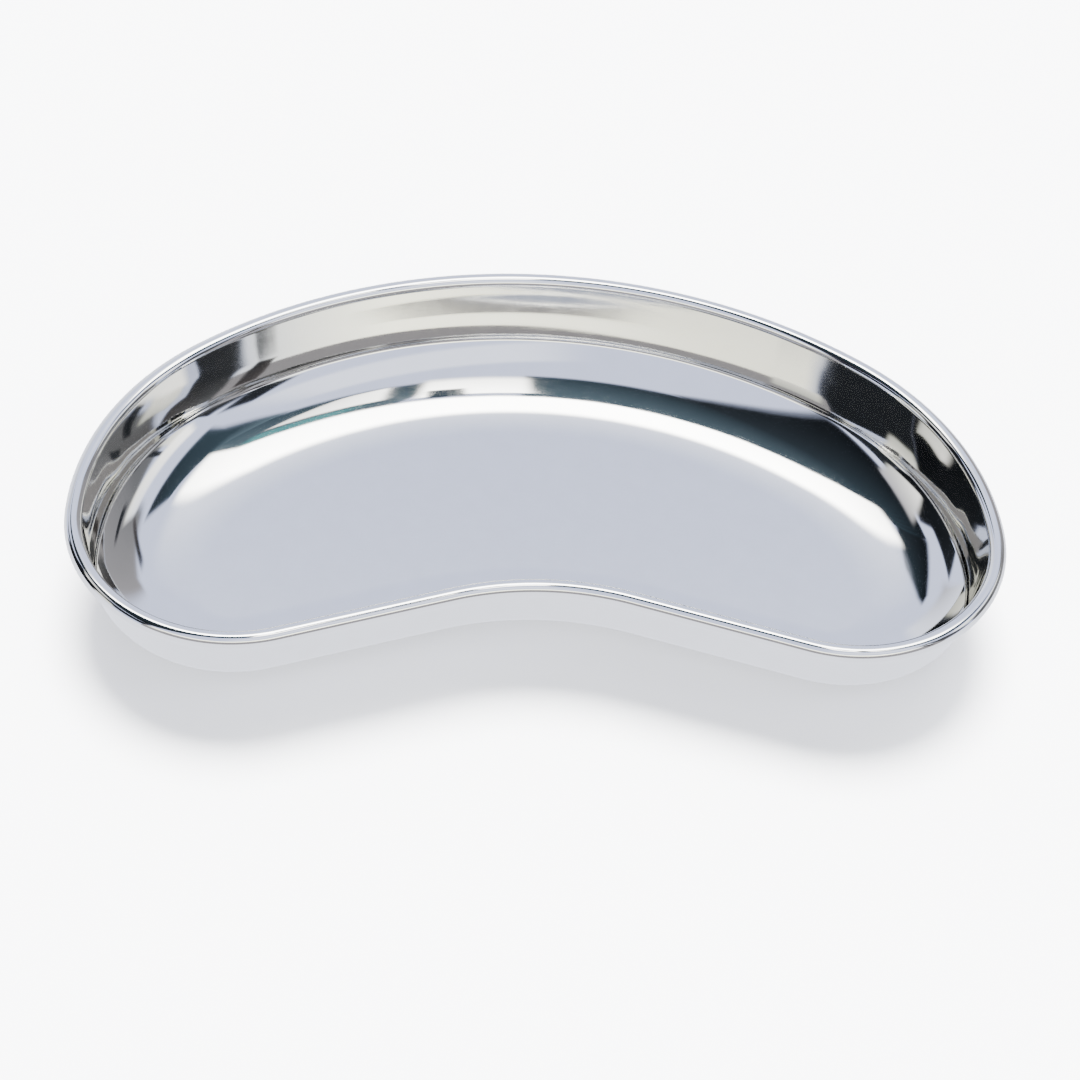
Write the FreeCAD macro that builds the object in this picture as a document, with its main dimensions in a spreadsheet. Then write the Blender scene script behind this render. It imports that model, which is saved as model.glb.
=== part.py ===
import FreeCAD, Part
import math
import os

import Sketcher

# Kidney dish: one blank of stainless-steel sheet, deep drawn and with its edge rolled outward.
# Frame: +Z up, +X along the length, origin on the resting plane below the middle of the dish.
# The rounded back of the kidney faces +Y, its waist faces -Y.  Millimetres and degrees.

DRIVING_SIZES = {
    "overall_length": 250.0,    # along X, over the rolled rim
    "overall_width": 140.0,     # along Y, over the rolled rim
    "waist_width": 120.0,       # from the middle of the back to the middle of the waist
    "dish_height": 32.0,        # resting plane to the top of the rim
    "back_radius": 152.0,       # outline of the rim: long arc of the back
    "shoulder_radius": 82.0,    # arc between the back and each lobe
    "lobe_radius": 44.0,        # arc round each end
    "waist_radius": 75.0,       # hollow arc of the waist, joined to the lobes by straight flanks
    "sheet_thickness": 0.7,
    "bead_diameter": 4.8,       # rolled rim, outside
    "curl_sweep": 304.0,        # how far the edge is rolled round, short of touching the wall
    "margin_radius": 60.0,      # inside radii, from the flat floor outward: its gently rising margin,
    "corner_radius": 33.0,      # the wide rounded corner,
    "foot_radius": 3.0,         # and the tight bend at the foot of the straight wall
    "margin_slope": 6.0,        # slope of the sheet where the margin meets the corner
    "corner_slope": 47.0,       # slope where the corner meets the bend
    "wall_draft": 8.0,          # lean of the wall from the vertical, which lets dishes nest
}

SKETCH_ORIGIN = (-1, 1)
VERTICAL_AXIS = -2
START, END, CENTRE = 1, 2, 3
TOLERANCE = 1e-6


def make_sheet(doc):
    """The spreadsheet that drives every sketch."""
    sheet = doc.addObject("Spreadsheet::Sheet", "sizes")
    for row, (alias, value) in enumerate(DRIVING_SIZES.items(), start=1):
        sheet.set(f"A{row}", alias.replace("_", " "))
        sheet.set(f"B{row}", str(value))
        sheet.setAlias(f"B{row}", alias)
    doc.recompute()
    return sheet


def polar(centre, radius, angle):
    """Point at a math angle (radians, from +X towards +Y) round a centre."""
    return FreeCAD.Vector(centre[0] + radius * math.cos(angle), centre[1] + radius * math.sin(angle), 0)


def arc(centre, radius, start, end):
    circle = Part.Circle(FreeCAD.Vector(centre[0], centre[1], 0), FreeCAD.Vector(0, 0, 1), radius)
    return Part.ArcOfCircle(circle, start, end)


def new_sketch(body, name, plane_role):
    """An empty sketch on one of the body's own origin planes."""
    plane = next(item for item in body.Origin.OriginFeatures if item.Role == plane_role)
    sketch = body.newObject("Sketcher::SketchObject", name)
    sketch.AttachmentSupport = [(plane, "")]
    sketch.MapMode = "FlatFace"
    return sketch


def drive(sketch, name, expression, *constraint):
    """Add a dimension and bind it to the spreadsheet; its first value is only a start for the solver."""
    index = sketch.addConstraint(Sketcher.Constraint(*constraint))
    sketch.renameConstraint(index, name)
    sketch.setExpression(f"Constraints.{name}", expression)


def tie(sketch, kind, *references):
    sketch.addConstraint(Sketcher.Constraint(kind, *references))


def outline_frame(sheet):
    """Centres of the outline's arcs and the bearings of their joints, clockwise from +Y."""
    half_length = sheet.overall_length / 2
    half_width = sheet.overall_width / 2
    back = (0.0, half_width - sheet.back_radius)
    lobe = (half_length - sheet.lobe_radius, sheet.lobe_radius - half_width)
    waist = (0.0, half_width - sheet.waist_width - sheet.waist_radius)
    # The shoulder arc touches the back arc and the lobe arc from inside.
    to_lobe = math.atan2(lobe[0] - back[0], lobe[1] - back[1])
    span = math.dist(back, lobe)
    near = sheet.back_radius - sheet.shoulder_radius
    far = sheet.shoulder_radius - sheet.lobe_radius
    back_joint = to_lobe - math.acos((span ** 2 + near ** 2 - far ** 2) / (2 * span * near))
    shoulder = (near * math.sin(back_joint), back[1] + near * math.cos(back_joint))
    lobe_joint = math.atan2(lobe[0] - shoulder[0], lobe[1] - shoulder[1])
    # The straight flank touches the lobe arc and the hollow waist arc on opposite sides.
    to_waist = math.atan2(waist[0] - lobe[0], waist[1] - lobe[1]) % math.tau
    reach = (sheet.waist_radius + sheet.lobe_radius) / math.dist(waist, lobe)
    flank_joint = to_waist - math.acos(reach)
    centres = {"back": back, "shoulder": shoulder, "lobe": lobe, "waist": waist}
    return centres, (back_joint, lobe_joint, flank_joint)


def draw_kidney(sketch, sheet, inset, inset_expression):
    """The closed kidney outline, set in from the rim's outline by the same distance all round."""
    centres, (back_joint, lobe_joint, flank_joint) = outline_frame(sheet)
    reach = {
        "back": sheet.back_radius - inset,
        "shoulder": sheet.shoulder_radius - inset,
        "lobe": sheet.lobe_radius - inset,
        "waist": sheet.waist_radius + inset,
    }
    bearings = {
        "back": (0.0, back_joint),
        "shoulder": (back_joint, lobe_joint),
        "lobe": (lobe_joint, flank_joint),
        "waist": (0.0, flank_joint - math.pi),
    }
    radius_expression = {
        "back": f"sizes.back_radius - {inset_expression}",
        "shoulder": f"sizes.shoulder_radius - {inset_expression}",
        "lobe": f"sizes.lobe_radius - {inset_expression}",
        "waist": f"sizes.waist_radius + {inset_expression}",
    }
    ends = {}
    for side, label in ((1, "right"), (-1, "left")):
        # An arc runs anticlockwise, so on the right its end is the one nearer the Y axis.
        near, far = (END, START) if side > 0 else (START, END)
        drawn = {}
        for name, centre in centres.items():
            mirrored = (side * centre[0], centre[1])
            angles = sorted(math.pi / 2 - side * bearing for bearing in bearings[name])
            drawn[name] = sketch.addGeometry(arc(mirrored, reach[name], *angles))
        flank_ends = [
            polar((side * centres[name][0], centres[name][1]), reach[name],
                  math.pi / 2 - side * bearings[name][1])
            for name in ("lobe", "waist")
        ]
        flank = sketch.addGeometry(Part.LineSegment(*flank_ends))
        tie(sketch, "Tangent", drawn["back"], far, drawn["shoulder"], near)
        tie(sketch, "Tangent", drawn["shoulder"], far, drawn["lobe"], near)
        tie(sketch, "Tangent", drawn["lobe"], far, flank, START)
        tie(sketch, "Tangent", flank, END, drawn["waist"], far)
        for name in ("back", "waist"):
            tie(sketch, "PointOnObject", drawn[name], CENTRE, VERTICAL_AXIS)
        for name, index in drawn.items():
            drive(sketch, f"{name}_radius_{label}", radius_expression[name],
                  "Radius", index, reach[name])
        lobe_centre = (drawn["lobe"], CENTRE)
        left_point, right_point = (SKETCH_ORIGIN, lobe_centre) if side > 0 else (lobe_centre, SKETCH_ORIGIN)
        drive(sketch, f"lobe_x_{label}", "sizes.overall_length / 2 - sizes.lobe_radius",
              "DistanceX", *left_point, *right_point, centres["lobe"][0])
        drive(sketch, f"lobe_y_{label}", "sizes.overall_width / 2 - sizes.lobe_radius",
              "DistanceY", *lobe_centre, *SKETCH_ORIGIN, -centres["lobe"][1])
        ends[label] = {name: (drawn[name], near) for name in ("back", "waist")}
    for name in ("back", "waist"):
        tie(sketch, "Coincident", *ends["right"][name], *ends["left"][name])
        tie(sketch, "PointOnObject", *ends["right"][name], VERTICAL_AXIS)
    drive(sketch, "back_y", f"sizes.overall_width / 2 - {inset_expression}",
          "DistanceY", *SKETCH_ORIGIN, *ends["right"]["back"], sheet.overall_width / 2 - inset)
    drive(sketch, "waist_y", f"sizes.waist_width - sizes.overall_width / 2 - {inset_expression}",
          "DistanceY", *ends["right"]["waist"], *SKETCH_ORIGIN,
          sheet.waist_width - sheet.overall_width / 2 - inset)


def section_frame(sheet):
    """The wall section in the (Y, Z) plane of the back: the bead's centre, and the arcs of the inner face.

    Each arc is (centre, radius, slope where it starts, slope where it ends), from the floor outward.
    """
    draft = math.radians(sheet.wall_draft)
    bead_radius = sheet.bead_diameter / 2
    bead_centre = (sheet.overall_width / 2 - bead_radius, sheet.dish_height - bead_radius)
    radii = (sheet.margin_radius, sheet.corner_radius, sheet.foot_radius)
    slopes = (0.0, math.radians(sheet.margin_slope), math.radians(sheet.corner_slope), math.pi / 2 - draft)
    # Walk the centres up from the end of the flat floor, then move them all to meet the bead.
    reach, height = 0.0, sheet.sheet_thickness + radii[0]
    centres = [(reach, height)]
    for slope, before, after in zip(slopes[1:], radii, radii[1:]):
        reach += (before - after) * math.sin(slope)
        height -= (before - after) * math.cos(slope)
        centres.append((reach, height))
    climb = bead_centre[1] - height
    shift = bead_centre[0] - reach - (radii[-1] + bead_radius + climb * math.sin(draft)) / math.cos(draft)
    arcs = [((y + shift, z), radius, start, end)
            for (y, z), radius, start, end in zip(centres, radii, slopes, slopes[1:])]
    return bead_centre, arcs


def draw_wall_section(sketch, sheet):
    """The sheet cut across the back: margin, corner, foot, leaning wall and the edge rolled outward."""
    bead_centre, arcs = section_frame(sheet)
    thickness = sheet.sheet_thickness
    bead_radius = sheet.bead_diameter / 2
    draft = math.radians(sheet.wall_draft)
    curl_start = math.pi - draft
    curl_end = curl_start - math.radians(sheet.curl_sweep)

    def add_face(depth, curl_radius):
        """One face of the sheet, from the floor to the curl: its three arcs, its wall and its curl."""
        bends = [sketch.addGeometry(arc(centre, radius + depth, start - math.pi / 2, end - math.pi / 2))
                 for centre, radius, start, end in arcs]
        foot_centre, foot_radius = arcs[-1][:2]
        wall = sketch.addGeometry(Part.LineSegment(
            polar(foot_centre, foot_radius + depth, -draft), polar(bead_centre, curl_radius, curl_start)))
        curl = sketch.addGeometry(arc(bead_centre, curl_radius, curl_end, curl_start))
        for bend, following in zip(bends, [*bends[1:], wall]):
            tie(sketch, "Tangent", bend, END, following, START)
        tie(sketch, "Tangent", wall, END, curl, END)
        return bends, wall, curl

    inner_bends, inner_wall, outer_curl = add_face(0.0, bead_radius)
    outer_bends, outer_wall, inner_curl = add_face(thickness, bead_radius - thickness)
    margin, corner, foot = inner_bends
    margin_centre, margin_radius = arcs[0][:2]
    floor_edge = sketch.addGeometry(Part.LineSegment(
        polar(margin_centre, margin_radius + thickness, -math.pi / 2),
        polar(margin_centre, margin_radius, -math.pi / 2)))
    sheet_edge = sketch.addGeometry(Part.LineSegment(
        polar(bead_centre, bead_radius - thickness, curl_end), polar(bead_centre, bead_radius, curl_end)))

    for inner, outer in (*zip(inner_bends, outer_bends), (inner_curl, outer_curl)):
        tie(sketch, "Coincident", inner, CENTRE, outer, CENTRE)
    tie(sketch, "Coincident", floor_edge, START, outer_bends[0], START)
    tie(sketch, "Coincident", floor_edge, END, margin, START)
    tie(sketch, "Vertical", floor_edge)
    tie(sketch, "Vertical", margin, CENTRE, margin, START)
    tie(sketch, "Coincident", sheet_edge, START, inner_curl, START)
    tie(sketch, "Coincident", sheet_edge, END, outer_curl, START)
    tie(sketch, "PointOnObject", outer_curl, CENTRE, sheet_edge)

    drive(sketch, "margin_radius", "sizes.margin_radius", "Radius", margin, sheet.margin_radius)
    drive(sketch, "corner_radius", "sizes.corner_radius", "Radius", corner, sheet.corner_radius)
    drive(sketch, "foot_radius", "sizes.foot_radius", "Radius", foot, sheet.foot_radius)
    drive(sketch, "outer_margin_radius", "sizes.margin_radius + sizes.sheet_thickness",
          "Radius", outer_bends[0], margin_radius + thickness)
    drive(sketch, "margin_sweep", "sizes.margin_slope", "Angle", margin, math.radians(sheet.margin_slope))
    drive(sketch, "corner_sweep", "sizes.corner_slope - sizes.margin_slope",
          "Angle", corner, math.radians(sheet.corner_slope - sheet.margin_slope))
    drive(sketch, "wall_slope", "90 - sizes.wall_draft", "Angle", inner_wall, math.pi / 2 - draft)
    drive(sketch, "bead_radius", "sizes.bead_diameter / 2", "Radius", outer_curl, bead_radius)
    drive(sketch, "inner_bead_radius", "sizes.bead_diameter / 2 - sizes.sheet_thickness",
          "Radius", inner_curl, bead_radius - thickness)
    drive(sketch, "curl_sweep", "sizes.curl_sweep", "Angle", outer_curl, math.radians(sheet.curl_sweep))
    drive(sketch, "bead_y", "sizes.overall_width / 2 - sizes.bead_diameter / 2",
          "DistanceX", *SKETCH_ORIGIN, outer_curl, CENTRE, bead_centre[0])
    drive(sketch, "bead_z", "sizes.dish_height - sizes.bead_diameter / 2",
          "DistanceY", *SKETCH_ORIGIN, outer_curl, CENTRE, bead_centre[1])
    drive(sketch, "margin_z", "sizes.margin_radius + sizes.sheet_thickness",
          "DistanceY", *SKETCH_ORIGIN, margin, CENTRE, margin_centre[1])
    # Follows from the rest: how far from the middle the flat floor ends.
    floor_reach = sketch.addConstraint(Sketcher.Constraint(
        "DistanceX", *SKETCH_ORIGIN, margin, CENTRE, margin_centre[0]))
    sketch.setDriving(floor_reach, False)
    sketch.renameConstraint(floor_reach, "floor_reach")


def edges_from_back(shape, back_y):
    """Names of the outline's edges in order, starting where the wall section stands."""
    back = FreeCAD.Vector(0, back_y, 0)
    edges = shape.Edges
    touching = [i for i, edge in enumerate(edges)
                if min(back.distanceToPoint(vertex.Point) for vertex in edge.Vertexes) < TOLERANCE]
    first = touching[-1]
    return [f"Edge{(first + i) % len(edges) + 1}" for i in range(len(edges))]


def make_dish(doc, sheet):
    """The whole pressing as one body: a flat floor, then the wall section carried round it."""
    body = doc.addObject("PartDesign::Body", "dish_pressing")
    body.Label = "dish_pressing"

    rim_outline = new_sketch(body, "rim_outline", "XY_Plane")
    draw_kidney(rim_outline, sheet, 0.0, "0")
    wall_section = new_sketch(body, "wall_section", "YZ_Plane")
    draw_wall_section(wall_section, sheet)
    doc.recompute()

    floor_inset = sheet.overall_width / 2 - wall_section.getDatum("floor_reach").Value
    floor_outline = new_sketch(body, "floor_outline", "XY_Plane")
    draw_kidney(floor_outline, sheet, floor_inset,
                "(sizes.overall_width / 2 - wall_section.Constraints.floor_reach / 1 mm)")
    floor = body.newObject("PartDesign::Pad", "floor")
    floor.Profile = floor_outline
    floor.setExpression("Length", "sizes.sheet_thickness")
    doc.recompute()

    wall = body.newObject("PartDesign::AdditivePipe", "wall_and_rim")
    wall.Profile = wall_section
    wall.Spine = (rim_outline, edges_from_back(rim_outline.Shape, sheet.overall_width / 2))
    doc.recompute()
    return body


def check(doc, parts):
    """Stop before anything is written if a feature failed or a piece is not one valid solid."""
    for item in doc.Objects:
        if "Invalid" in item.State or "Error" in item.State:
            raise RuntimeError(f"{item.Name} failed: {item.State}")
    for part in parts:
        if part.Shape.isNull() or not part.Shape.isValid() or len(part.Shape.Solids) != 1:
            raise RuntimeError(f"{part.Label} is not one valid solid")


def main():
    doc = FreeCAD.newDocument("kidney_dish")
    sheet = make_sheet(doc)
    parts = [make_dish(doc, sheet)]
    doc.recompute()
    check(doc, parts)
    os.makedirs("parts", exist_ok=True)
    for part in parts:
        part.Shape.exportStep(os.path.join("parts", f"{part.Label}.step"))
        box = part.Shape.optimalBoundingBox(False, False)
        print(f"{part.Label}: {box.XLength:.2f} x {box.YLength:.2f} x {box.ZLength:.2f} mm, "
              f"{part.Shape.Volume / 1000:.2f} cm3")


main()
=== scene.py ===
import math

import bpy
import numpy as np
from mathutils import Matrix, Vector


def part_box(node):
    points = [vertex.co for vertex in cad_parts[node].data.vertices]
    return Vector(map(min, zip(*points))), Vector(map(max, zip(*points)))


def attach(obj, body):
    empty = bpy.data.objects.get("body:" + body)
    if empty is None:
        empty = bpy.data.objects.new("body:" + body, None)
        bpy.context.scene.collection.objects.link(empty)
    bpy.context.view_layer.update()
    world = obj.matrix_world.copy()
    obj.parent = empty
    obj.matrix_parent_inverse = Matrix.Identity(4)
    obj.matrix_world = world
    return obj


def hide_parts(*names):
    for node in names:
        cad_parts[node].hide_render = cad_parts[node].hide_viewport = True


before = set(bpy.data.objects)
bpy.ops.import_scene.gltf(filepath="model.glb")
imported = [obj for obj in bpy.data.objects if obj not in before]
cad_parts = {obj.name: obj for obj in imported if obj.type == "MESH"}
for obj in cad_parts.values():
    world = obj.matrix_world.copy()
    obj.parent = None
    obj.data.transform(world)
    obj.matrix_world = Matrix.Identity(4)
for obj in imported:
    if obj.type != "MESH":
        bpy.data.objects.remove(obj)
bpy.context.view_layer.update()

# A kidney dish of mirror-polished stainless sheet.  Metres, in the CAD's frame: +X along the length,
# +Y towards the rounded back, +Z up, the origin on the table below the middle of the dish.

NODE = "dish_pressing"
MM = 0.001

# ---------------------------------------------------------------- sizes of the pressing
low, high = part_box(NODE)
LENGTH = high.x - low.x
WIDTH = high.y - low.y
HEIGHT = high.z
WAIST_WIDTH = 120 * MM      # middle of the back to middle of the waist
BACK_RADIUS = 152 * MM
SHOULDER_RADIUS = 82 * MM
LOBE_RADIUS = 44 * MM
WAIST_RADIUS = 75 * MM
THICKNESS = 0.7 * MM
BEAD_RADIUS = 2.4 * MM
CURL_SWEEP = math.radians(304)
WALL_DRAFT = math.radians(8)
BENDS = (                   # inside radius and the slope it starts at, from the flat floor outward
    (60 * MM, 0),
    (33 * MM, math.radians(6)),
    (3 * MM, math.radians(47)),
)

# ---------------------------------------------------------------- fineness of its mesh
RING_STEP = 1.6 * MM        # along the rim
BEND_STEPS = (6, 22, 10)
WALL_STEPS = 24
BEAD_STEPS = 44
EDGE_STEPS = 6
RIB_STEPS = 16              # across the flat floor

# ---------------------------------------------------------------- waves that pressing leaves in the wall
BACK_SWELL = 0.113 * MM     # one inward swell in the middle of the back
BACK_SWELL_PLACE = -19 * MM
BACK_SWELL_REACH = 49 * MM
BACK_SWELL_SHARES = (0.14, 0.43, 0.87)      # of the wall's height: its start, crest and end
BACK_SWELL_ROUNDING = 0.15                  # the share of each flank that is rounded, at each end
END_WAVES = (               # round the two ends: height, wavelength along the rim, phase, lean up the wall
    (0.030 * MM, 23 * MM, 0.4, 1.3),
    (0.045 * MM, 41 * MM, 2.1, -0.9),
    (0.016 * MM, 13 * MM, 5.2, 2.2),
)
END_WAVES_START = 70 * MM
END_WAVES_FULL = 105 * MM


def bearing(angle):
    """Unit vector at a bearing, clockwise from +Y."""
    return np.array([math.sin(angle), math.cos(angle)])


def rim_outline():
    """Points round the outermost line of the rim, with their outward normals.

    They start at the middle of the back and run clockwise; the second half mirrors the first.
    """
    back = np.array([0, WIDTH / 2 - BACK_RADIUS])
    lobe = np.array([LENGTH / 2 - LOBE_RADIUS, LOBE_RADIUS - WIDTH / 2])
    waist = np.array([0, WIDTH / 2 - WAIST_WIDTH - WAIST_RADIUS])
    to_lobe = lobe - back
    span = np.hypot(*to_lobe)
    near = BACK_RADIUS - SHOULDER_RADIUS
    far = SHOULDER_RADIUS - LOBE_RADIUS
    turn = math.acos((span ** 2 + near ** 2 - far ** 2) / (2 * span * near))
    back_joint = math.atan2(*to_lobe) - turn
    shoulder = back + near * bearing(back_joint)
    lobe_joint = math.atan2(*(lobe - shoulder))
    to_waist = waist - lobe
    lean = math.acos((WAIST_RADIUS + LOBE_RADIUS) / np.hypot(*to_waist))
    flank_joint = math.atan2(*to_waist) % math.tau - lean

    points, normals = [], []

    def add_arc(centre, radius, start, end, outward):
        count = max(2, round(abs(end - start) * radius / RING_STEP))
        for angle in np.linspace(start, end, count, endpoint=False):
            points.append(centre + radius * bearing(angle))
            normals.append(outward * bearing(angle))

    add_arc(back, BACK_RADIUS, 0, back_joint, 1)
    add_arc(shoulder, SHOULDER_RADIUS, back_joint, lobe_joint, 1)
    add_arc(lobe, LOBE_RADIUS, lobe_joint, flank_joint, 1)
    flank_normal = bearing(flank_joint)
    flank_start = lobe + LOBE_RADIUS * flank_normal
    flank_end = waist - WAIST_RADIUS * flank_normal
    count = round(np.hypot(*(flank_end - flank_start)) / RING_STEP)
    for share in np.linspace(0, 1, count, endpoint=False):
        points.append(flank_start + share * (flank_end - flank_start))
        normals.append(flank_normal)
    add_arc(waist, WAIST_RADIUS, flank_joint - math.pi, 0, -1)
    points.append(waist + WAIST_RADIUS * bearing(0))
    normals.append(-bearing(0))
    if len(points) % 2 == 0:    # the floor's ribs need an even number of steps in each half
        points.pop(1)
        normals.pop(1)
    points, normals = np.array(points), np.array(normals)
    mirror = np.array([-1, 1])
    return (np.vstack([points, points[-2:0:-1] * mirror]),
            np.vstack([normals, normals[-2:0:-1] * mirror]))


def flank(share):
    """Height and slope of a straight flank that climbs from 0 to 1, rounded at its foot and its top."""
    share = min(1, max(0, share))
    steepest = 1 / (1 - BACK_SWELL_ROUNDING)
    if share < BACK_SWELL_ROUNDING:
        slope = steepest * share / BACK_SWELL_ROUNDING
        return slope * share / 2, slope
    if share > 1 - BACK_SWELL_ROUNDING:
        slope = steepest * (1 - share) / BACK_SWELL_ROUNDING
        return 1 - slope * (1 - share) / 2, slope
    return steepest * (share - BACK_SWELL_ROUNDING / 2), steepest


def wall_waves(points, share):
    """How far the wall leans inward round the rim, at a share of its height, and that lean's two slopes.

    The slopes are along the rim and up the wall, each as height per unit of length and of share.
    """
    steps = np.roll(points, -1, axis=0) - points
    lengths = np.hypot(*steps.T)
    along = np.cumsum(lengths) - lengths
    perimeter = lengths.sum()
    window, window_slope = math.sin(math.pi * share) ** 2, math.pi * math.sin(math.tau * share)

    reach = np.exp(-((points[:, 0] - BACK_SWELL_PLACE) / BACK_SWELL_REACH) ** 4) * (points[:, 1] > 0)
    start, crest, end = BACK_SWELL_SHARES
    up_to, climb = flank((share - start) / (crest - start))
    down_from, fall = flank((share - crest) / (end - crest))
    lean = reach * BACK_SWELL * (up_to - down_from)
    rise_slope = reach * BACK_SWELL * (climb / (crest - start) - fall / (end - crest))
    rim_slope = np.zeros(len(points))

    ends = np.clip((abs(points[:, 0]) - END_WAVES_START) / (END_WAVES_FULL - END_WAVES_START), 0, 1)
    ends = ends ** 2 * (3 - 2 * ends)
    for height, wavelength, phase, drift in END_WAVES:
        turns = math.tau * round(perimeter / wavelength) / perimeter
        angle = turns * along + phase + drift * share
        lean += ends * height * window * np.sin(angle)
        rim_slope += ends * height * window * turns * np.cos(angle)
        rise_slope += ends * height * (window_slope * np.sin(angle) + window * drift * np.cos(angle))
    return lean, rim_slope, rise_slope


def sheet_section():
    """The sheet cut across its edge: rows of (inset from the rim, height, normal inward, normal up).

    It runs from the floor up the inside, round the rolled bead to the sheet's rounded edge, and back
    down the outside to the underside of the floor.  A fifth number is the share of the straight wall's
    height, or -1 off the wall; a sixth is the wall's length.
    """
    cos_draft, sin_draft = math.cos(WALL_DRAFT), math.sin(WALL_DRAFT)
    wall_normal = np.array([cos_draft, sin_draft])
    bead = np.array([BEAD_RADIUS, HEIGHT - BEAD_RADIUS])
    radii, starts = zip(*BENDS)
    ends = (*starts[1:], math.pi / 2 - WALL_DRAFT)
    centres = [np.array([0, THICKNESS + radii[0]])]
    for turn, before, after in zip(starts[1:], radii, radii[1:]):
        centres.append(centres[-1] - (before - after) * bearing(turn))
    climb = bead[1] - centres[-1][1]
    run = (radii[-1] + BEAD_RADIUS + climb * sin_draft) / cos_draft - centres[-1][0]
    floor_inset = bead[0] + run

    def along_sheet(depth):
        """The same line of the sheet, at a depth of 0 for its inner face and 1 for its outer one."""
        rows = []
        for centre, radius, start, end, steps in zip(centres, radii, starts, ends, BEND_STEPS):
            first = 1 if rows else 0
            for turn in np.linspace(start, end, steps + 1)[first:]:
                normal = bearing(turn)
                place = centre - (radius + depth * THICKNESS) * normal
                rows.append((floor_inset + place[0], place[1], *normal, -1, 0))
        bead_radius = BEAD_RADIUS - depth * THICKNESS
        wall_end = bead + bead_radius * wall_normal
        wall_start = np.array(rows[-1][:2])
        wall_length = np.hypot(*(wall_end - wall_start))
        for share in np.linspace(0, 1, WALL_STEPS + 1)[1:-1]:
            place = wall_start + share * (wall_end - wall_start)
            rows.append((*place, *wall_normal, share, wall_length))
        for turn in np.linspace(WALL_DRAFT, WALL_DRAFT + CURL_SWEEP, BEAD_STEPS + 1):
            normal = np.array([math.cos(turn), math.sin(turn)])
            rows.append((*(bead + bead_radius * normal), *normal, -1, 0))
        return np.array(rows)

    inside = along_sheet(0)
    outside = along_sheet(1)[::-1]
    outside[:, 2:4] *= -1
    edge_turn = WALL_DRAFT + CURL_SWEEP
    radial = np.array([math.cos(edge_turn), math.sin(edge_turn)])
    onward = np.array([-math.sin(edge_turn), math.cos(edge_turn)])
    edge_centre = bead + (BEAD_RADIUS - THICKNESS / 2) * radial
    edge = []
    for turn in np.linspace(0, math.pi, EDGE_STEPS + 1)[1:-1]:
        normal = math.cos(turn) * radial + math.sin(turn) * onward
        edge.append((*(edge_centre + THICKNESS / 2 * normal), *normal, -1, 0))
    return np.vstack([inside, edge, outside])


def build_dish():
    points, normals = rim_outline()
    section = sheet_section()
    around = len(points)
    verts, shading = [], []
    flat_normals = np.column_stack([normals, np.zeros(around)])
    tangents = np.column_stack([normals[:, 1], -normals[:, 0], np.zeros(around)])
    for inset, height, inward, up, share, wall_length in section:
        ring = np.column_stack([points - normals * inset, np.full(around, height)])
        ring_shading = -flat_normals * inward + (0, 0, up)
        if share >= 0:
            lean, rim_slope, rise_slope = wall_waves(points, share)
            side = math.copysign(1, inward)
            ring += side * ring_shading * lean[:, None]
            up_wall = flat_normals * abs(up) + (0, 0, abs(inward))
            climb_slope = rise_slope / wall_length
            ring_shading -= side * (tangents * rim_slope[:, None] + up_wall * climb_slope[:, None])
        verts.append(ring)
        shading.append(ring_shading)
    verts, shading = np.vstack(verts), np.vstack(shading)

    faces = []
    for row in range(len(section) - 1):
        for i in range(around):
            a = row * around + i
            b = row * around + (i + 1) % around
            faces.append((a, b, b + around, a + around))

    # Each floor face is a ladder of ribs from the back across to the waist.
    half = around // 2
    quarter = half // 2
    extra_verts, extra_shading = [], []

    def add_floor(ring_start, up):
        def rib(i):
            start, end = ring_start + i % around, ring_start + (half - i) % around
            if abs(i) == quarter:
                return [start]
            first = len(verts) + len(extra_verts)
            for share in np.linspace(0, 1, RIB_STEPS + 1)[1:-1]:
                extra_verts.append(verts[start] * (1 - share) + verts[end] * share)
                extra_shading.append((0, 0, up))
            return [start, *range(first, first + RIB_STEPS - 1), end]

        previous = rib(-quarter)
        for i in range(1 - quarter, quarter + 1):
            current = rib(i)
            if len(previous) == 1:
                strip = [(previous[0], current[k + 1], current[k]) for k in range(RIB_STEPS)]
            elif len(current) == 1:
                strip = [(previous[k], previous[k + 1], current[0]) for k in range(RIB_STEPS)]
            else:
                strip = [(previous[k], previous[k + 1], current[k + 1], current[k])
                         for k in range(RIB_STEPS)]
            faces.extend(strip if up > 0 else [face[::-1] for face in strip])
            previous = current

    add_floor(0, 1)
    add_floor((len(section) - 1) * around, -1)
    verts = np.vstack([verts, extra_verts])
    shading = np.vstack([shading, extra_shading])

    mesh = bpy.data.meshes.new("dish")
    mesh.from_pydata(verts.tolist(), [], faces)
    mesh.polygons.foreach_set("use_smooth", [True] * len(mesh.polygons))
    mesh.normals_split_custom_set_from_vertices(shading.tolist())
    mesh.validate()
    dish = bpy.data.objects.new("dish", mesh)
    bpy.context.scene.collection.objects.link(dish)
    return dish


# ---------------------------------------------------------------- material
# Patterns in the steel, in waves per metre.
SWELL_SCALE = 34
MOTTLE_SCALE = 150
LINE_SCALE = 2600
CROSS_LINE_SCALE = 3100
SCUFF_SCALE = 5200
LINE_SHARE = 0.65                   # of the polishing lines, the rest being the cross lines
SWELL_DEPTH = 28e-6
LINE_DEPTH = 0.15e-6

POLISHED_ROUGHNESS = (0.028, 0.048)
LINE_ROUGHNESS = 0.016              # added where the polishing lines are thickest
UNDERSIDE_ROUGHNESS = 0.26          # added by rubbing on the table
RIM_ROUGHNESS = 0.05                # added by stacking
UNDERSIDE_HEIGHT = 0.35 * MM        # the rubbed steel fades out by this height
RIM_WEAR_HEIGHT = 31.4 * MM         # the worn top of the rim starts here
STEEL_TONES = ((0.705, 0.70, 0.668, 1), (0.735, 0.73, 0.70, 1))


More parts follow.
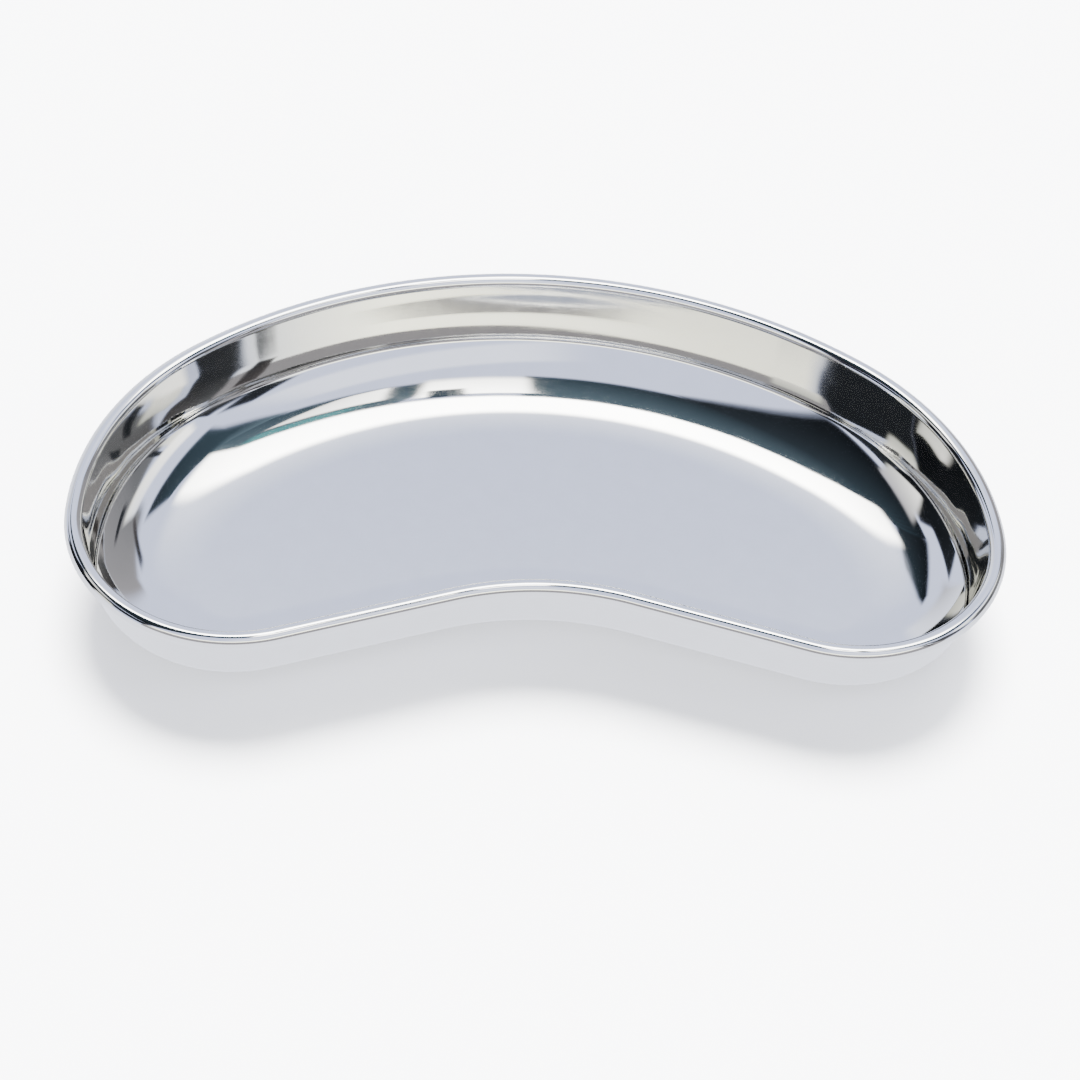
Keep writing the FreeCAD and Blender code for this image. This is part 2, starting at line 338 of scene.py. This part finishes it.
def polished_steel():
    """Mirror-polished stainless steel: faint swells, fine polishing lines, and wear where it rubs."""
    material = bpy.data.materials.new("polished_stainless")
    material.use_nodes = True
    nodes, links = material.node_tree.nodes, material.node_tree.links
    shader = nodes["Principled BSDF"]
    shader.inputs["Metallic"].default_value = 1
    place = nodes.new("ShaderNodeTexCoord").outputs["Object"]

    def connect(source, target):
        if isinstance(source, (int, float)):
            target.default_value = source
        else:
            links.new(source, target)

    def noise(scale, stretch=(1, 1, 1), turn=0, detail=2.0, roughness=0.5):
        """Smooth noise of about one wave per 1 / scale metres."""
        mapping = nodes.new("ShaderNodeMapping")
        mapping.inputs["Rotation"].default_value = (0, 0, math.radians(turn))
        mapping.inputs["Scale"].default_value = stretch
        texture = nodes.new("ShaderNodeTexNoise")
        texture.inputs["Scale"].default_value = scale
        texture.inputs["Detail"].default_value = detail
        texture.inputs["Roughness"].default_value = roughness
        links.new(place, mapping.inputs["Vector"])
        links.new(mapping.outputs["Vector"], texture.inputs["Vector"])
        return texture.outputs["Fac"]

    def math_node(operation, first, second):
        node = nodes.new("ShaderNodeMath")
        node.operation = operation
        connect(first, node.inputs[0])
        connect(second, node.inputs[1])
        return node.outputs["Value"]

    def remap(value, low, high, new_low, new_high):
        node = nodes.new("ShaderNodeMapRange")
        node.interpolation_type = "SMOOTHSTEP"
        links.new(value, node.inputs["Value"])
        node.inputs["From Min"].default_value = low
        node.inputs["From Max"].default_value = high
        node.inputs["To Min"].default_value = new_low
        node.inputs["To Max"].default_value = new_high
        return node.outputs["Result"]

    def bump(height, depth, below=None):
        node = nodes.new("ShaderNodeBump")
        node.inputs["Distance"].default_value = depth
        links.new(height, node.inputs["Height"])
        if below is not None:
            links.new(below, node.inputs["Normal"])
        return node.outputs["Normal"]

    swells = noise(SWELL_SCALE, detail=1.0)
    mottle = noise(MOTTLE_SCALE, detail=3.0)
    lines = noise(LINE_SCALE, stretch=(0.06, 1, 1), turn=4, detail=3.0)
    cross_lines = noise(CROSS_LINE_SCALE, stretch=(1, 0.05, 1), turn=-22, detail=2.0)
    scuffs = noise(SCUFF_SCALE, stretch=(0.02, 1, 1), turn=33, detail=1.0)
    grain = math_node("ADD", math_node("MULTIPLY", lines, LINE_SHARE),
                      math_node("MULTIPLY", cross_lines, 1 - LINE_SHARE))

    height = nodes.new("ShaderNodeSeparateXYZ")
    links.new(place, height.inputs["Vector"])
    underside = remap(height.outputs["Z"], 0, UNDERSIDE_HEIGHT, 1, 0)
    rim_top = remap(height.outputs["Z"], RIM_WEAR_HEIGHT, HEIGHT, 0, 1)
    rubbed = math_node("MULTIPLY", underside, remap(scuffs, 0.45, 0.62, 0.35, 1.0))
    worn_rim = math_node("MULTIPLY", rim_top, remap(scuffs, 0.5, 0.66, 0.0, 1.0))

    polish = remap(mottle, 0.3, 0.7, *POLISHED_ROUGHNESS)
    haze = math_node("MULTIPLY", remap(grain, 0.38, 0.62, 0.0, 1.0), LINE_ROUGHNESS)
    wear = math_node("ADD", math_node("MULTIPLY", rubbed, UNDERSIDE_ROUGHNESS),
                     math_node("MULTIPLY", worn_rim, RIM_ROUGHNESS))
    links.new(math_node("ADD", math_node("ADD", polish, haze), wear), shader.inputs["Roughness"])

    tone = nodes.new("ShaderNodeValToRGB")
    links.new(math_node("ADD", math_node("MULTIPLY", mottle, 0.7), math_node("MULTIPLY", grain, 0.3)),
              tone.inputs["Fac"])
    for element, position, color in zip(tone.color_ramp.elements, (0.3, 0.7), STEEL_TONES):
        element.position = position
        element.color = color
    links.new(tone.outputs["Color"], shader.inputs["Base Color"])

    links.new(bump(grain, LINE_DEPTH, bump(swells, SWELL_DEPTH)), shader.inputs["Normal"])
    return material


# ---------------------------------------------------------------- studio
# Round the table stand pale walls, one big softbox overhead and some dark flags.  Each card is a patch of
# a far sphere, given by its corners: bearing clockwise from +Y and elevation, in degrees, and their light.
STUDIO_RADIUS = 3.0
CARD_STEPS = 24
FLOOR_RADIUS = 8.0
FLOOR_COLOR = (0.93, 0.93, 0.93, 1)
WALL_LIGHT = (1.38, 1.53, 2.15)
MIRRORED_FLOOR_LIGHT = (2.3, 2.4, 2.8)
# Lights for the floor alone: (name, strength, degrees from straight down, degrees across).
FLOOR_LIGHTS = (("from_behind", 23.0, 25, 28), ("from_above", 10.0, 0, 140))


def add_world():
    world = bpy.data.worlds.new("pale_walls")
    bpy.context.scene.world = world
    world.use_nodes = True
    background = world.node_tree.nodes["Background"]
    background.inputs["Color"].default_value = (*WALL_LIGHT, 1)
    background.inputs["Strength"].default_value = 1


def floor_disc(name, height):
    """A wide matt disc at a height, and the shader of its own material."""
    bpy.ops.mesh.primitive_circle_add(vertices=96, radius=FLOOR_RADIUS, fill_type="NGON",
                                      location=(0, 0, height))
    disc = bpy.context.object
    disc.name = name
    material = bpy.data.materials.new(name)
    material.use_nodes = True
    disc.data.materials.append(material)
    shader = material.node_tree.nodes["Principled BSDF"]
    shader.inputs["Specular IOR Level"].default_value = 0
    return disc, shader


def add_floor():
    floor, shader = floor_disc("floor", 0)
    shader.inputs["Base Color"].default_value = FLOOR_COLOR
    shader.inputs["Roughness"].default_value = 0.9
    floor.visible_glossy = False


def add_mirrored_floor():
    """A dimmer floor that only the steel mirrors, because the bright one would turn its outside white."""
    floor, shader = floor_disc("mirrored_floor", -MM)
    shader.inputs["Base Color"].default_value = (0, 0, 0, 1)
    shader.inputs["Emission Color"].default_value = (*MIRRORED_FLOOR_LIGHT, 1)
    shader.inputs["Emission Strength"].default_value = 1
    floor.visible_camera = False
    floor.visible_diffuse = False
    floor.visible_shadow = False


def add_floor_lights():
    """Broad lights from behind and above; mirror surfaces don't show them, so only the floor is lit."""
    for name, strength, lean, width in FLOOR_LIGHTS:
        data = bpy.data.lights.new(name, "SUN")
        data.energy = strength
        data.angle = math.radians(width)
        light = bpy.data.objects.new(name, data)
        light.rotation_euler = (-math.radians(lean), 0, 0)
        bpy.context.scene.collection.objects.link(light)
        light.visible_glossy = False


def sphere_point(compass, rise):
    return np.array([math.sin(compass) * math.cos(rise),
                     math.cos(compass) * math.cos(rise),
                     math.sin(rise)])


def fade(share, soft_start, soft_end):
    """How solid a card is at a share of the way across it, with soft edges that are shares of it too."""
    rise = 1 if soft_start == 0 else min(1, share / soft_start)
    fall = 1 if soft_end == 0 else min(1, (1 - share) / soft_end)
    solid = max(0, min(rise, fall))
    return solid * solid * (3 - 2 * solid)


def add_card(name, corners, radius, soft=(0.2, 0.2, 0.2, 0.2), level=False):
    """A card with four corners in order round it, and a light that blends between theirs.

    Each of its four edges, which start from the first two corners, is soft over a share of the card.
    The edges are straight as seen from the dish, or keep to their elevations if the card is level.
    """
    corners = np.array([(math.radians(b), math.radians(e), *light) for b, e, light in corners])
    places = corners[:, :2] if level else np.array([sphere_point(*corner[:2]) for corner in corners])
    values = np.hstack([places, corners[:, 2:]])
    verts, lights, faces = [], [], []
    for row in np.linspace(0, 1, CARD_STEPS + 1):
        for column in np.linspace(0, 1, CARD_STEPS + 1):
            value = ((1 - row) * ((1 - column) * values[0] + column * values[1])
                     + row * ((1 - column) * values[3] + column * values[2]))
            place = sphere_point(*value[:2]) if level else value[:3] / np.linalg.norm(value[:3])
            verts.append(place * radius)
            lights.append((*value[-3:], fade(row, soft[0], soft[2]) * fade(column, soft[3], soft[1])))
    side = CARD_STEPS + 1
    for row in range(CARD_STEPS):
        for column in range(CARD_STEPS):
            a = row * side + column
            faces.append((a, a + 1, a + side + 1, a + side))
    mesh = bpy.data.meshes.new(name)
    mesh.from_pydata([list(vert) for vert in verts], [], faces)
    glow = mesh.color_attributes.new("light", "FLOAT_COLOR", "POINT")
    glow.data.foreach_set("color", np.array(lights).ravel())
    material = bpy.data.materials.new(name)
    material.use_nodes = True
    nodes, links = material.node_tree.nodes, material.node_tree.links
    nodes.clear()
    light = nodes.new("ShaderNodeAttribute")
    light.attribute_name = "light"
    emission = nodes.new("ShaderNodeEmission")
    clear = nodes.new("ShaderNodeBsdfTransparent")
    blend = nodes.new("ShaderNodeMixShader")
    output = nodes.new("ShaderNodeOutputMaterial")
    links.new(light.outputs["Color"], emission.inputs["Color"])
    links.new(light.outputs["Alpha"], blend.inputs["Fac"])
    links.new(clear.outputs["BSDF"], blend.inputs[1])
    links.new(emission.outputs["Emission"], blend.inputs[2])
    links.new(blend.outputs["Shader"], output.inputs["Surface"])
    mesh.materials.append(material)
    card = bpy.data.objects.new(name, mesh)
    bpy.context.scene.collection.objects.link(card)
    card.visible_camera = False
    card.visible_shadow = False


def overhead(x, y):
    """Bearing and elevation of a place on a ceiling one unit above the dish."""
    return math.degrees(math.atan2(x, y)), math.degrees(math.atan2(1, math.hypot(x, y)))


def add_studio():
    add_world()
    add_floor()
    add_mirrored_floor()
    add_floor_lights()
    black = (0.010, 0.012, 0.016)
    coal = (0.03, 0.035, 0.045)
    slate = (0.06, 0.095, 0.13)
    haze = (0.19, 0.28, 0.36)
    glow = (2.2, 2.35, 2.9)
    teal = (0.16, 0.55, 0.62)
    grey = (0.60, 0.585, 0.65)
    dim = (0.25, 0.26, 0.29)
    dusk = (0.13, 0.12, 0.13)
    soft_grey = (1.15, 1.2, 1.15)
    lilac = (1.0, 1.0, 1.2)
    cream = (5.6, 5.6, 4.9)
    milk = (2.3, 2.3, 2.2)
    bright = (2.1, 2.25, 2.8)

    def white(light):
        return (light,) * 3

    far, middle, near, nearest = (STUDIO_RADIUS - step for step in (0, 0.2, 0.4, 0.6))
    add_card("back_glow", [(*overhead(-0.6, 0.45), glow), (*overhead(0.7, 0.45), glow),
                           (*overhead(0.7, 1.0), glow), (*overhead(-0.6, 1.0), glow)],
             far, (0, 0.2, 1, 0.2))
    add_card("top_left", [(*overhead(-0.6, 0.4), slate), (*overhead(0.07, 0.2), haze),
                          (*overhead(0.07, -0.25), slate), (*overhead(-0.2, -0.25), coal)],
             far, (0, 0, 0.08, 0))
    add_card("top_right", [(*overhead(0.19, 0.17), haze), (*overhead(0.72, 0.12), haze),
                           (*overhead(0.66, -0.13), slate), (*overhead(0.19, -0.21), slate)],
             far, (0, 0.1, 0.15, 0))
    add_card("softbox_left", [(*overhead(-0.62, 0.6), white(9)), (*overhead(0, 0.55), white(18)),
                              (*overhead(0, 0.14), white(18)), (*overhead(-0.58, 0.3), white(8))],
             middle, (0.3, 0, 0.1, 0.15))
    add_card("softbox_right", [(*overhead(0, 0.55), white(18)), (*overhead(0.68, 0.51), white(10)),
                               (*overhead(0.68, 0.07), white(9)), (*overhead(0, 0.14), white(18))],
             middle, (0.3, 0.12, 0.1, 0))
    add_card("strip", [(*overhead(0.055, 0.09), white(11)), (*overhead(0.18, 0.09), white(11)),
                       (*overhead(0.245, -0.24), white(5)), (*overhead(0.055, -0.24), white(5))],
             near, (0.04, 0.1, 0.3, 0.1))
    add_card("strip_right", [(*overhead(0.225, 0.04), white(6)), (*overhead(0.46, 0.03), white(3)),
                             (*overhead(0.365, -0.13), white(3)), (*overhead(0.285, -0.17), white(6))],
             near, (0.1, 0.15, 0.1, 0.05))
    add_card("strip_flag", [(*overhead(0.115, 0.125), slate), (*overhead(0.158, 0.125), slate),
                            (*overhead(0.19, -0.03), slate), (*overhead(0.137, -0.03), slate)],
             nearest, (0.1, 0.1, 0.15, 0.1))
    add_card("teal_patch", [(*overhead(0.235, 0.13), teal), (*overhead(0.47, 0.12), teal),
                            (*overhead(0.47, 0.035), teal), (*overhead(0.235, 0.045), teal)], near)
    add_card("flag_left", [(264, 0, black), (264, 38, black), (292, 38, black), (299, 0, coal)],
             far, (0.05, 0.05, 0.05, 0), True)
    add_card("flag_left_tip", [(288, 16, black), (288, 32, black), (313, 23, coal), (301, 15, coal)],
             far, (0.1, 0.1, 0.1, 0))
    add_card("flag_left_side", [(230, 15, coal), (230, 38, coal), (266, 38, coal), (266, 15, coal)],
             far, (0.05, 0, 0.03, 0.06), True)
    add_card("flag_left_top", [(232, 36, black), (*overhead(-0.18, -0.25), coal),
                               (*overhead(-0.6, 0.42), slate), (299, 36, black)],
             far, (0.06, 0, 0, 0.05))
    add_card("flag_far_left", [(298, 34, black), (290, 53, coal), (329, 51, slate), (334, 36, black)],
             far, (0.1, 0.1, 0.15, 0.15))
    add_card("patch_left", [(261, 35, soft_grey), (264, 45, lilac), (299, 44, grey), (280, 26.5, white(3))],
             middle, (0.15, 0.2, 0.15, 0.06))
    add_card("patch_low_left", [(248, 6, milk), (254, 26, soft_grey), (264, 26, soft_grey), (268, 6, milk)],
             middle, (0.2, 0.3, 0.2, 0.1))
    add_card("patch_near_left", [(220, 20, soft_grey), (221, 29, milk),
                                 (232, 29, milk), (231, 20, soft_grey)],
             near, (0.1, 0.1, 0.15, 0.2))
    add_card("low_left", [(310, 0, bright), (311, 30, grey), (352, 36, bright), (352, 0, bright)],
             far, (0.1, 0.2, 0.2, 0), True)
    add_card("low_right", [(22, 0, grey), (26, 36, grey), (66, 38, dim), (98, 0, dim)],
             far, (0.2, 0.1, 0.2, 0), True)
    add_card("low_far_right", [(64, 0, dim), (64, 30, dim), (98, 27, dim), (100, 0, dusk)],
             far, (0.1, 0.1, 0.1, 0), True)
    add_card("crack_low_right", [(52, 17, coal), (53, 20, coal), (69, 25, coal), (69, 21, coal)],
             near, (0.3, 0.4, 0.3, 0.1))
    add_card("crack_right", [(36, 37, coal), (38, 41, coal), (64, 31, dusk), (62, 29, dusk)],
             near, (0.2, 0.4, 0.2, 0.4))
    add_card("blob_right", [(79, 9, coal), (79, 16, coal), (84, 15, coal), (83, 9, coal)],
             near, (0.3, 0.3, 0.3, 0.3))
    add_card("crack_upright_right", [(84, 16, coal), (86.5, 31, coal), (90, 30, coal), (88, 16, coal)],
             near, (0.3, 0.1, 0.3, 0.2))
    add_card("flag_right", [(55, 37, coal), (57, 48, slate), (109, 56, slate), (107, 42, slate)],
             middle, (0.1, 0, 0.1, 0.15))
    add_card("flag_right_top", [(57, 48, slate), (82, 56, haze), (108, 63, haze), (109, 56, slate)],
             middle, (0, 0, 0.1, 0))
    add_card("streak_right", [(58, 22, milk), (61, 32, bright), (103, 38, white(4)), (107, 29, white(4))],
             near, (0.1, 0.3, 0.1, 0.3))
    add_card("streak_low_right", [(89, 20, soft_grey), (91, 31, milk),
                                  (105, 33, white(3)), (102, 21, soft_grey)],
             near, (0.2, 0.1, 0.2, 0.2))
    add_card("post_right", [(97, 6, dusk), (110, 36, coal), (123, 36, coal), (120, 6, dim)],
             nearest, (0.1, 0.06, 0.1, 0.05))
    add_card("slit_right", [(122.5, 12, dusk), (124, 33, coal), (129, 31, dusk), (128, 12, dusk)],
             nearest, (0.15, 0.1, 0.2, 0.1))
    add_card("spot_right", [(111, 38, coal), (117, 44, coal), (133, 38, coal), (124, 32, coal)], nearest)
    add_card("counter", [(118, 0, grey), (118, 27.5, grey), (232, 27.5, grey), (232, 0, grey)],
             middle, (0, 0.015, 0, 0), True)
    add_card("window", [(120, 26, bright), (120, 38, bright), (150, 37, cream), (150, 26, cream)],
             far, (0.1, 0.1, 0, 0), True)
    add_card("window_right", [(150, 26, cream), (150, 37, cream), (231, 36, cream), (231, 26, milk)],
             far, (0, 0.1, 0.02, 0), True)
    add_card("near_wall", [(112, 40, bright), (112, 60, bright), (190, 60, bright), (190, 36, bright)],
             middle, (0.2, 0.2, 0.3, 0.2))


# ---------------------------------------------------------------- camera
CAMERA_TARGET = Vector((2.71, -4.57, 0)) * MM
CAMERA_DISTANCE = 0.8213
CAMERA_BEARING = math.radians(-6.2)     # towards +X from straight in front of the waist
CAMERA_ELEVATION = math.radians(48.24)
CAMERA_ROLL = math.radians(6.05)
LENS_PER_SENSOR = 2.742


def add_camera():
    back = Vector((math.sin(CAMERA_BEARING) * math.cos(CAMERA_ELEVATION),
                   -math.cos(CAMERA_BEARING) * math.cos(CAMERA_ELEVATION),
                   math.sin(CAMERA_ELEVATION)))
    right = (-back).cross(Vector((0, 0, 1))).normalized()
    up = back.cross(right)
    tilted_right = right * math.cos(CAMERA_ROLL) + up * math.sin(CAMERA_ROLL)
    tilted_up = up * math.cos(CAMERA_ROLL) - right * math.sin(CAMERA_ROLL)
    data = bpy.data.cameras.new("camera")
    data.sensor_width = 36
    data.lens = data.sensor_width * LENS_PER_SENSOR
    camera = bpy.data.objects.new("camera", data)
    bpy.context.scene.collection.objects.link(camera)
    rotation = Matrix((tilted_right, tilted_up, back)).transposed()
    camera.matrix_world = Matrix.LocRotScale(CAMERA_TARGET + back * CAMERA_DISTANCE, rotation, None)
    bpy.context.scene.camera = camera


dish = build_dish()
dish.data.materials.append(polished_steel())
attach(dish, "root")
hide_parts(NODE)
add_studio()
add_camera()
